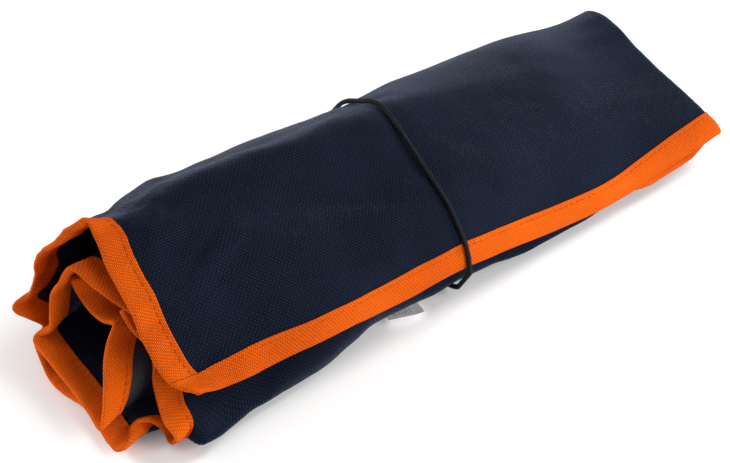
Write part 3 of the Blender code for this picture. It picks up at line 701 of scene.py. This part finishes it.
def base_cloth():
    outer, inner = ply("outer", PLY_OFF), ply("inner", PLY_OFF)
    turn = turn_over(outer[-1], inner[-1], FOLD_BULGE)
    points = np.concatenate([outer, turn, inner[::-1]])
    x_outer = LATTICE["outer"][0].mean(1)
    x_inner = LATTICE["inner"][0].mean(1)
    end = x_outer[-1]
    arc = np.linspace(0, FOLD_ARC, len(turn) + 2)[1:-1]
    run = np.concatenate([x_outer, end + arc, 2 * end + FOLD_ARC - x_inner[::-1]])
    return grid_object("base_cloth", points, PLY, NAVY, cloth_uv(run))


def pocket_cloth(name, half):
    points = ply(half, -PLY_OFF)[: POCKET_ROWS + 1]
    run = LATTICE[half][0].mean(1)[: POCKET_ROWS + 1]
    return grid_object(name, points, PLY, NAVY_IN, cloth_uv(run))


BASE = base_cloth()
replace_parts(BASE, "base_panel")
POCKET_A = pocket_cloth("pocket_cloth_a", "outer")
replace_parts(POCKET_A, "pocket_face_a")
POCKET_B = pocket_cloth("pocket_cloth_b", "inner")
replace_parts(POCKET_B, "pocket_face_b")


# ---- the binding tape

# The tape's section: distance in from the edge and height off the middle of the half
TAPE_SECTION = np.array([
    (12.0, 0.80), (11.4, 0.84), (10.6, 0.80), (9.7, 0.70), (8.6, 0.82), (6.4, 1.02), (4.0, 1.12),
    (2.0, 1.08), (0.7, 0.95), (0.0, 0.72), (-0.35, 0.38), (-0.45, 0.0),
]) * MM
TAPE_SECTION = np.concatenate([TAPE_SECTION, TAPE_SECTION[-2::-1] * np.array([1, -1])])
STITCH_IN = 9.7 * MM          # the stitches' line, in from the tape's fold
STITCH_HIGH = 0.70 * MM + TAPE_T / 2  # the tape's faces there, off the middle of the half
STITCH = 2.7 * MM
STITCH_STEP = 3.5 * MM
STITCH_RADIUS = 0.21 * MM
STITCH_SUNK, STITCH_ARCH = 0.12 * MM, 0.22 * MM
CORNER_LIFT = 0.9 * MM        # how far a long tape opens over the end tape at a corner


def pucker(run, side, seed):
    """Small waves along a tape, where the stitches draw it in."""
    waves = 0.06 * np.sin(run / STITCH_STEP * 2 * math.pi)
    waves = waves + 0.10 * wave_noise(run / MM, side / MM * 0.3, seed, 14, 2)
    return waves * MM


def tape_object(name, edge_points, edge_normals, inward, seed, lift=None, plain=None):
    """A tape folded over an edge.

    edge_points(d) gives the row of points at distance d in from the edge, edge_normals(d)
    their normals, and inward the unit vectors that lead away from the edge at the edge. lift
    opens the tape, and plain says where there is no pocket face under it.
    """
    run = run_along(edge_points(0.0))
    section = []
    for deep, high in TAPE_SECTION:
        face = np.sign(high)
        near = max(deep, 0.0)
        points, normals = edge_points(near), edge_normals(near)
        out = min(deep, 0.0)
        high = np.full(len(run), high)
        if plain is not None:
            high = np.where(plain & (high < 0), high + 2 * PLY_OFF, high)
        off = high + np.sign(high) * pucker(run, near, seed) * (np.abs(high) > 0.6 * MM)
        if lift is not None:
            off = off + face * lift
        section.append(points + normals * off[:, None] + inward * out)
    uv = np.stack(np.meshgrid(run_along(TAPE_SECTION) / MM, run / MM, indexing="ij"), -1)[..., ::-1]
    return grid_object(name, np.array(section), TAPE_T, ORANGE, uv)


def stitches(name, line, normals):
    """Rows of short threads along a line of points, standing on both faces of the tape."""
    run = run_along(line)
    count = int((run[-1] - STITCH_STEP) / STITCH_STEP)
    vertices, faces = [], []
    sides, rings = 6, 5
    for k in range(count):
        start = (k + 0.6) * STITCH_STEP
        s = start + np.linspace(0, STITCH, rings)
        centre = sample(line, run, s)
        up = unit(sample(normals, run, s))
        ahead = unit(np.gradient(centre, axis=0))
        aside = unit(np.cross(ahead, up))
        arch = np.sin(np.linspace(0, math.pi, rings)) * STITCH_ARCH - STITCH_SUNK
        fat = STITCH_RADIUS * np.array([0.55, 1.0, 1.05, 1.0, 0.55])
        for sign in (1, -1):
            first = len(vertices)
            for j in range(rings):
                for m in range(sides):
                    angle = 2 * math.pi * m / sides
                    place = centre[j] + sign * up[j] * (STITCH_HIGH + arch[j])
                    place = place + fat[j] * (aside[j] * math.cos(angle) + up[j] * math.sin(angle))
                    vertices.append(place)
            for j in range(rings - 1):
                for m in range(sides):
                    a = first + j * sides + m
                    b = first + j * sides + (m + 1) % sides
                    faces.append((a, b, b + sides, a + sides))
            faces.append(tuple(first + m for m in range(sides))[::-1])
            faces.append(tuple(first + (rings - 1) * sides + m for m in range(sides)))
    return mesh_object(name, vertices, faces, THREAD, "bag")


def row_at(data, distance):
    """A half's points or normals at this distance in from its loose end."""
    where = distance / TAPE_WIDTH * EDGE_ROWS
    low = int(min(math.floor(where), EDGE_ROWS - 1))
    share = where - low
    return data[low] * (1 - share) + data[low + 1] * share


def bound_edge(name, node, points_at, normals_at, inward, seed, **tape):
    """The tape and the row of stitches along one edge; the tape stands for the CAD node."""
    obj = tape_object(name, points_at, normals_at, inward, seed, **tape)
    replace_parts(obj, node)
    seam = stitches(name.replace("tape", "stitches"), points_at(STITCH_IN), normals_at(STITCH_IN))
    return [obj, seam]


def end_tape(letter, half, seed):
    """The tape along one half's loose end."""
    _, points, normals = LATTICE[half]
    return bound_edge(
        f"end_tape_{letter}", f"end_binding_{letter}", lambda distance: row_at(points, distance),
        lambda distance: unit(row_at(normals, distance)), unit(points[2] - points[0]), seed)


def long_tape(name, node, first_edge, seed):
    """The tape along one long edge, from the loose end round the fold to the other."""
    _, outer, outer_normals = LATTICE["outer"]
    _, inner, inner_normals = LATTICE["inner"]
    turn = turn_over(outer[-1], inner[-1], FOLD_BULGE - PLY_OFF)
    turned = unit(turn_over(outer_normals[-1], inner_normals[-1], 1.0))
    points = np.concatenate([outer, turn, inner[::-1]])
    normals = np.concatenate([outer_normals, turned, inner_normals[::-1]])
    pocket = np.arange(ROWS) <= POCKET_ROWS
    plain = ~np.concatenate([pocket, np.zeros(len(turn), bool), pocket[::-1]])
    if not first_edge:
        points, normals = points[:, ::-1], normals[:, ::-1]
    under = 20                # more columns than lie under the tape
    steps = np.linalg.norm(np.diff(points[:, :under], axis=1), axis=2)
    depth = np.concatenate([np.zeros((len(points), 1)), np.cumsum(steps, axis=1)], axis=1)

    def pick(data, distance):
        k = np.clip(np.argmax(depth > distance, axis=1), 1, under - 1)
        rows = np.arange(len(points))
        lower, upper = depth[rows, k - 1], depth[rows, k]
        share = ((distance - lower) / (upper - lower))[:, None]
        return data[rows, k - 1] * (1 - share) + data[rows, k] * share

    place = np.arange(len(points))
    lift = CORNER_LIFT * np.exp(-np.minimum(place, place[::-1]) / 7.0)
    return bound_edge(
        name, node, lambda distance: pick(points, distance), lambda distance: unit(pick(normals, distance)),
        unit(points[:, 2] - points[:, 0]), seed, lift=lift, plain=plain)


TAPES_A = end_tape("a", "outer", 31)
TAPES_B = end_tape("b", "inner", 32)
FLAP = long_tape("flap_edge_tape", "flap_edge_binding", True, 33)
CORE = long_tape("core_edge_tape", "core_edge_binding", False, 34)


# ---- hidden parts in the roll

ZIP_X = 260 * MM
ZIP_SPAN = (0.07, 0.93)       # shares of the width
CORE_SPAN = (ZIP_SPAN[0] + 0.02, ZIP_SPAN[1] - 0.03)
ZIP_OFF = 0.95 * MM           # below the middle of the half
ZIP_TAPES = [(-10 * MM, -1.2 * MM), (1.2 * MM, 10 * MM)]  # each tape's two edges, from ZIP_X
ZIP_TAPE_T = 0.35 * MM
CORE_HALF = 1.0 * MM
COIL_PITCH, COIL_RADIUS = 1.3 * MM, 0.32 * MM
COIL_WIDE, COIL_HIGH = 1.9 * MM, 0.28 * MM
HANDLE_X = (284 * MM, 303 * MM)
HANDLE_SPAN = (0.10, 0.62)
HANDLE_OFF, HANDLE_T = 0.75 * MM, 0.9 * MM


def strip(name, half, x_range, u_range, offset, thickness, surface, rows=5):
    """A strip across a half, on its fine lattice."""
    grid_rows, points, normals = LATTICE[half]
    data = points + normals * offset
    xs = np.linspace(*x_range, rows)
    at = np.interp(xs, grid_rows[SETTLED:, 0], np.arange(SETTLED, ROWS))
    keep = (U >= u_range[0]) & (U <= u_range[1])
    low = at.astype(int)
    share = (at - low)[:, None, None]
    low = np.minimum(low, ROWS - 2)
    grid = (data[low] * (1 - share) + data[low + 1] * share)[:, keep]
    return grid_object(name, grid, thickness, surface), grid


def coil_teeth(name, centre_line, normals):
    """A nylon coil: a flattened spring along the zip's middle."""
    run = run_along(centre_line)
    steps = 8                 # points in a turn
    s = np.linspace(0, run[-1], int(run[-1] / COIL_PITCH * steps))
    phase = s / COIL_PITCH * 2 * math.pi
    centre = sample(centre_line, run, s)
    up = unit(sample(normals, run, s))
    aside = unit(np.cross(unit(np.gradient(centre, axis=0)), up))
    path = centre + aside * (np.cos(phase) * COIL_WIDE)[:, None] + up * (np.sin(phase) * COIL_HIGH)[:, None]
    return tube(name, path, COIL_RADIUS, BRAID, "bag", 4)


def sides_of(path, up):
    """Two unit vectors across the path at each point, carried along it without a twist."""
    ahead = unit(np.gradient(path, axis=0))
    up = np.cross(ahead[0], up)
    ups = []
    for direction in ahead:
        up = up - direction * (up @ direction)
        up = up / np.linalg.norm(up)
        ups.append(up)
    return np.array(ups), np.cross(ahead, np.array(ups))


def tube(name, path, radius, surface, body, sides):
    """A round tube along a path, with a UV map of its length and girth."""
    ups, aside = sides_of(path, [0.3, 0.2, 0.93])
    radius = np.broadcast_to(radius, len(path))
    angle = np.linspace(0, 2 * math.pi, sides, endpoint=False)
    ring = ups[:, None] * np.cos(angle)[None, :, None] + aside[:, None] * np.sin(angle)[None, :, None]
    points = path[:, None] + ring * radius[:, None, None]
    index = np.arange(len(path) * sides).reshape(len(path), sides)
    after = np.roll(index, -1, axis=1)
    faces = np.stack([index[:-1], after[:-1], after[1:], index[1:]], -1).reshape(-1, 4).tolist()
    faces += [index[0, ::-1].tolist(), index[-1].tolist()]
    uv = np.stack(np.meshgrid(run_along(path) / MM, angle, indexing="ij"), -1)
    return mesh_object(name, points.reshape(-1, 3), faces, surface, body, uv)


def zip_parts(letter, half):
    """Two tapes, the core between them and the coil round it, on a pocket's inner face."""
    pieces = []
    for k, edges in enumerate(ZIP_TAPES, 1):
        x_range = [ZIP_X + edge for edge in edges]
        tape, _ = strip(f"zip_cloth_{letter}_{k}", half, x_range, ZIP_SPAN, -ZIP_OFF, ZIP_TAPE_T,
                        BLACK_TAPE)
        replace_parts(tape, f"zip_tape_{letter}_{k}")
        pieces.append(tape)
    core, line = strip(f"zip_core_{letter}", half, (ZIP_X - CORE_HALF, ZIP_X + CORE_HALF), CORE_SPAN,
                       -ZIP_OFF, ZIP_TAPE_T, BLACK_TAPE)
    middle = line[2]
    normal = unit(np.cross(line[4] - line[0], np.gradient(middle, axis=0)))
    coil = coil_teeth(f"zip_teeth_{letter}", middle, normal)
    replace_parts(coil, f"zip_coil_{letter}")
    return pieces + [core, coil]


ZIPS = zip_parts("a", "outer") + zip_parts("b", "inner")
HANDLE, _ = strip("handle_webbing", "outer", HANDLE_X, HANDLE_SPAN, -HANDLE_OFF, HANDLE_T,
                  BLACK_TAPE, rows=9)
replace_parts(HANDLE, "carry_handle")


# ---- the tie

# How far from its place the tie clears the roll: its own width, and its slide to the fold
TIE_REACH = np.array([-1.5, 0, 1.5, 18]) * MM
TAPE_HIGH = 1.3 * MM          # the tape's outside, off the middle of the half
FLOOR_GAP = 0.1 * MM
KNOT_AT = (52 * MM, 22 * MM)  # y, z
KNOT_SIZE = 1.9 * MM
KNOT_CUT = 6                  # points of the loop left out on each side of the knot
TAIL_DROPS = (16 * MM, 12 * MM)
TAIL_SPREAD = 5 * MM
TAIL_RADIUS = TIE_RADIUS * 0.95
BRAID_PITCH, TAIL_PITCH = 5.6 * MM, 7 * MM
BRAID_STEP = 0.34 * MM
STRANDS = 8
BEAD = 1.35 * MM              # from one bulge of the braid to the next


def outline_at(x):
    """The roll's outline near one x, leaning as the tie does, from its plain face and tape."""
    rows, points, normals = LATTICE["outer"]
    high = np.where(U * WIDTH < TAPE_WIDTH, TAPE_HIGH, PLY_OFF + PLY / 2)
    data = points + normals * high[None, :, None]
    outline = []
    for j in range(COLUMNS):
        lean = (np.interp(x, data[:, j, 0], data[:, j, 2]) / TIE_SPAN - 0.5) * TIE_LEAN
        outline.append([np.interp(x + lean, data[:, j, 0], data[:, j, k]) for k in (1, 2)])
    return np.array(outline)


def tie_route(count=700):
    """The tie's closed loop round the roll, from the knot to the knot."""
    middle = TIE_X - CENTRE[0]
    hull = hull_of(np.concatenate([outline_at(x) for x in middle + TIE_REACH]))
    loop = []
    for k in range(len(hull)):
        a, b, c = hull[k - 1], hull[k], hull[(k + 1) % len(hull)]
        ins, out = np.arctan2(*(b - a)[::-1]), np.arctan2(*(c - b)[::-1])
        turn = (out - ins) % (2 * math.pi)
        for share in np.linspace(0, 1, max(2, int(turn / 0.08) + 1)):
            angle = ins + turn * share - math.pi / 2
            loop.append(b + (TIE_RADIUS + TIE_GAP) * np.array([math.cos(angle), math.sin(angle)]))
    loop = np.array(loop)
    loop[:, 1] = np.maximum(loop[:, 1], TIE_RADIUS + FLOOR_GAP)
    loop = np.concatenate([loop, loop[:1]])
    length = run_along(loop)
    knot = length[np.argmin(np.linalg.norm(loop - np.array(KNOT_AT), axis=1))]
    at = (np.linspace(0, length[-1], count) + knot) % length[-1]
    y, z = (np.interp(at, length, loop[:, k]) for k in (0, 1))
    lean = (z / z.max() - 0.5) * TIE_LEAN
    return np.column_stack([middle + lean, y, z])


def braid_on(name, node, path, radius=TIE_RADIUS, pitch=BRAID_PITCH):
    """A braided sleeve: half the strands wind each way, over and under each other."""
    run = run_along(path)
    s = np.linspace(0, run[-1], int(run[-1] / BRAID_STEP))
    centre = sample(path, run, s)
    ups, aside = sides_of(centre, [0.93, 0.2, 0.3])
    bead = 1 + 0.17 * np.sin(s / BEAD * 2 * math.pi)
    pieces = [tube(name + "_core", path, radius * 0.60, BRAID, "tie", 8)]
    for k in range(STRANDS):
        way = 1 if k % 2 == 0 else -1
        angle = way * s / pitch * 2 * math.pi + (k // 2) * 2 * math.pi / (STRANDS // 2)
        weave = np.sin(s / pitch * 2 * math.pi * STRANDS / 2 + (0 if way > 0 else math.pi))
        out = radius * (0.68 + 0.06 * weave) * bead
        strand = centre + (ups * np.cos(angle)[:, None] + aside * np.sin(angle)[:, None]) * out[:, None]
        pieces.append(tube(f"{name}_strand_{k + 1}", strand, radius * 0.28 * bead, BRAID, "tie",
                           6))
    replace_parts(join(name, pieces), node)


def join(name, pieces):
    """One piece of the tie from several that share a material."""
    bm = bmesh.new()
    for piece in pieces:
        bm.from_mesh(piece.data)
    mesh = bpy.data.meshes.new(name)
    bm.to_mesh(mesh)
    bm.free()
    mesh.materials.append(pieces[0].data.materials[0])
    mesh.shade_smooth()
    for piece in pieces:
        bpy.data.objects.remove(piece, do_unlink=True)
    obj = bpy.data.objects.new(name, mesh)
    bpy.context.scene.collection.objects.link(obj)
    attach(obj, "tie")
    return obj


def knot_path(start, along):
    """A three-lobed knot, which lies against the roll."""
    out = np.array([0, 1.0, 0])
    aside = unit(np.cross(along, out))
    t = np.linspace(0, 2 * math.pi, 90)
    x = np.sin(t) + 1.6 * np.sin(2 * t)
    y = np.cos(t) - 1.6 * np.cos(2 * t)
    z = -np.sin(3 * t)
    centre = start + np.array([0, 1.2 * MM, 0])
    flat = (x[:, None] * along + y[:, None] * aside) * KNOT_SIZE * 0.62
    return centre + flat + z[:, None] * out * KNOT_SIZE * 0.55


def tail_path(start, side, drop):
    """A cut end of the cord, which leaves the knot to one side and hangs down."""
    bend = np.linspace(0, 1, 40)
    first = start + np.array([side * 1.5 * MM, 2.2 * MM, -0.5 * MM])
    return first + np.column_stack([
        side * (2.2 * MM + TAIL_SPREAD * bend) * np.minimum(bend * 3, 1),
        1.6 * MM * np.sin(bend * 2.2),
        -drop * bend**1.5,
    ])


ROUTE = tie_route()
braid_on("tie_braid", "tie_cord", ROUTE[KNOT_CUT:-KNOT_CUT])
braid_on("tie_knot_braid", "tie_knot", knot_path(ROUTE[0], unit(ROUTE[4] - ROUTE[-5])), TAIL_RADIUS,
         TAIL_PITCH)
for number, (way, fall) in enumerate(zip((1, -1), TAIL_DROPS), 1):
    braid_on(f"tie_tail_{number}", f"tie_end_{number}", tail_path(ROUTE[0], way, fall), TAIL_RADIUS,
             TAIL_PITCH)


# ---- the label


LABEL_X = (110, 127)          # before it is turned, in millimetres
LABEL_Y = -50.5
LABEL_LENGTH = 26.5
LABEL_CURL = 13               # the length that curls up
LABEL_TURN = math.radians(-20)
LABEL_PIVOT = (119, -45)
LABEL_SHIFT = -0.5            # along y, once turned
LABEL_T = 0.18 * MM


def label():
    """A satin label that curls up a little where it leaves the roll."""
    x = np.linspace(*LABEL_X, 24)
    v = np.linspace(0, LABEL_LENGTH, 32)
    across, along = np.meshgrid(x, v, indexing="ij")
    out = np.maximum(0.0, (LABEL_CURL - along) / LABEL_CURL)
    side = (across - np.mean(LABEL_X)) / (np.ptp(LABEL_X) / 2)
    z = 0.42 + 3.0 * out**1.6 + 0.5 * out * side**2 + 0.15 * np.sin(across * 0.5) * out
    ahead, aside = across - LABEL_PIVOT[0], LABEL_Y + along - LABEL_PIVOT[1]
    cos, sin = math.cos(LABEL_TURN), math.sin(LABEL_TURN)
    grid = np.stack([
        LABEL_PIVOT[0] + ahead * cos - aside * sin,
        LABEL_PIVOT[1] + LABEL_SHIFT + ahead * sin + aside * cos,
        z,
    ], -1)
    uv = np.stack(np.meshgrid(x - LABEL_X[0], v, indexing="ij"), -1)
    obj = grid_object("satin_tag", grid * MM - np.array(CENTRE), LABEL_T, SATIN, uv, "label")
    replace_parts(obj, "barcode_label")
    return obj


TAG = label()

for node in ("zip_stop_a", "zip_stop_b", "zip_slider_a", "zip_slider_b", "zip_pull_a", "zip_pull_b"):
    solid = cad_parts[node]
    solid.data.materials.clear()
    solid.data.materials.append(METAL)


# ---- floor, lights, camera


FLOOR_HALF = 6.0              # metres
FLOOR_Z = -0.0005
AZIMUTH, ELEVATION = math.radians(-38.5), math.radians(43.0)
AIM = np.array([-24.1, -19.05, 35.0]) * MM
DISTANCE = 1.0
SENSOR, LENS = 36, 110.47


def floor():
    mesh = bpy.data.meshes.new("floor")
    corners = [(x * FLOOR_HALF, y * FLOOR_HALF, FLOOR_Z) for x, y in ((-1, -1), (1, -1), (1, 1), (-1, 1))]
    mesh.from_pydata(corners, [], [(0, 1, 2, 3)])
    obj = bpy.data.objects.new("floor", mesh)
    bpy.context.scene.collection.objects.link(obj)
    n = Nodes("pale_floor")
    n.put(n.shader, "Base Color", n.mix(n.noise(30.0), (0.93, 0.93, 0.93, 1), (0.96, 0.96, 0.96, 1)))
    n.shader.inputs["Roughness"].default_value = 0.9
    n.shader.inputs["Specular IOR Level"].default_value = 0.1
    mesh.materials.append(n.material)


def area_light(name, place, target, size, power):
    light = bpy.data.lights.new(name, "AREA")
    light.shape = "DISK"
    light.size = size
    light.energy = power
    obj = bpy.data.objects.new(name, light)
    obj.location = place
    obj.rotation_euler = direction_angles(np.array(target) - np.array(place))
    bpy.context.scene.collection.objects.link(obj)


def direction_angles(way):
    return Vector(way).to_track_quat("-Z", "Y").to_euler()


def lights():
    area_light("key", (1.15, -0.15, 0.85), (0, 0, 0.03), 0.5, 13.0)
    area_light("back", (-1.0, 1.2, 0.55), (0, 0, 0.03), 0.6, 28.0)
    area_light("high", (0.6, -1.2, 1.0), (0, 0, 0.0), 0.7, 11.0)
    area_light("front", (0.3, -1.5, 0.25), (0, 0, 0.02), 1.1, 21.0)
    world = bpy.data.worlds.new("studio")
    bpy.context.scene.world = world
    world.use_nodes = True
    world.node_tree.nodes["Background"].inputs[0].default_value = (1, 1, 1, 1)
    world.node_tree.nodes["Background"].inputs[1].default_value = 0.46


def camera():
    way = np.array([math.sin(AZIMUTH) * math.cos(ELEVATION), -math.cos(AZIMUTH) * math.cos(ELEVATION),
                    math.sin(ELEVATION)])
    data = bpy.data.cameras.new("camera")
    data.sensor_width = SENSOR
    data.lens = LENS
    obj = bpy.data.objects.new("camera", data)
    obj.location = AIM + way * DISTANCE
    obj.rotation_euler = direction_angles(-way)
    bpy.context.scene.collection.objects.link(obj)
    bpy.context.scene.camera = obj


floor()
lights()
camera()
scene = bpy.context.scene
scene.view_settings.view_transform = "Standard"
scene.view_settings.exposure = 0.0
